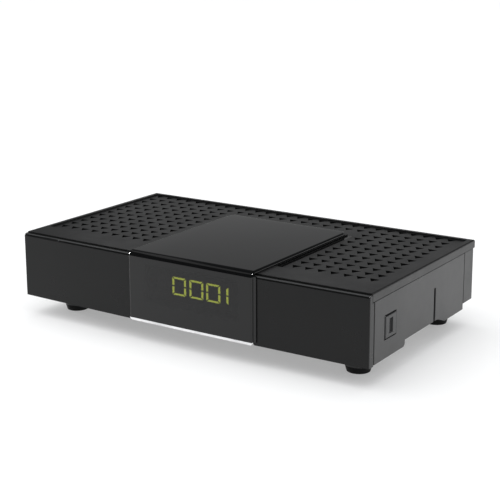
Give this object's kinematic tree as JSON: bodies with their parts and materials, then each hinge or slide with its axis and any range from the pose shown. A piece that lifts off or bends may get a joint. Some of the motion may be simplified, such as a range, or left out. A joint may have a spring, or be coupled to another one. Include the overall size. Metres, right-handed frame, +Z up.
{
  "type": "satellite tv receiver",
  "caption": "Flat black set-top receiver with a vented top, a raised smoked centre cover with a digit display, a push button in the side and sockets at the back.",
  "frame": {"origin": "middle of the whole part's box at floor level, under the feet", "axes": "+Z up, +Y from the front to the back, +X to the right seen from the front"},
  "size_m": [0.168, 0.1035, 0.0377],
  "materials": {
    "top_plastic": "fine-grained black moulding",
    "base_plastic": "fine-grained black moulding",
    "bezel_plastic": "satin black moulding",
    "cover_plastic": "polished smoked black",
    "trim_plastic": "bright silver",
    "panel_plastic": "fine-grained black moulding",
    "foot_rubber": "dull black",
    "button_plastic": "satin black",
    "switch_plastic": "dull black",
    "board_laminate": "green solder mask",
    "screw_steel": "zinc plated",
    "tin_plate": "tin-plated sheet",
    "nickel": "nickel plated",
    "contact_plastic": "white",
    "socket_plastic": "black",
    "core_plastic": "orange",
    "chip_epoxy": "dark epoxy",
    "heatsink_aluminium": "matt anodised",
    "can_sleeve": "shrink sleeve",
    "coil_ferrite": "ferrite",
    "display_plastic": "dark lens",
    "eye_epoxy": "dark infrared lens",
    "lamp_epoxy": "diffuse red",
    "ribbon_film": "white film"
  },
  "bodies": {
    "receiver": {"top_shell": "top_plastic", "bottom_shell": "base_plastic", "front_bezel": "bezel_plastic", "centre_cover": "cover_plastic", "trim_strip": "trim_plastic", "rear_panel": "panel_plastic", "foot_pad_front_left": "foot_rubber", "foot_pad_front_right": "foot_rubber", "foot_pad_rear_left": "foot_rubber", "foot_pad_rear_right": "foot_rubber", "power_switch": "switch_plastic", "main_board": "board_laminate", "board_screws": "screw_steel", "case_screws": "screw_steel", "tuner_can": "tin_plate", "lnb_input": "nickel", "loop_output": "nickel", "hdmi_socket": "tin_plate", "usb_socket": "tin_plate", "hdmi_tongue": "socket_plastic", "usb_tongue": "contact_plastic", "lan_socket": "socket_plastic", "digital_audio_jack": "core_plastic", "digital_audio_ring": "nickel", "dc_jack": "socket_plastic", "dc_pin": "nickel", "decoder_chip": "chip_epoxy", "heatsink": "heatsink_aluminium", "memory_chips": "chip_epoxy", "capacitors": "can_sleeve", "power_coils": "coil_ferrite", "display_board": "board_laminate", "display_module": "display_plastic", "ir_receiver": "eye_epoxy", "standby_led": "lamp_epoxy", "ribbon_header": "contact_plastic", "ribbon_cable": "ribbon_film"},
    "button": {"power_button": "button_plastic"}
  },
  "joints": [
    {"name": "power_press", "type": "slide", "parent": "receiver", "child": "button", "axis": [-1, 0, 0], "range_m": [0, 0.0016], "stiffness_N_per_m": 900}
  ]
}
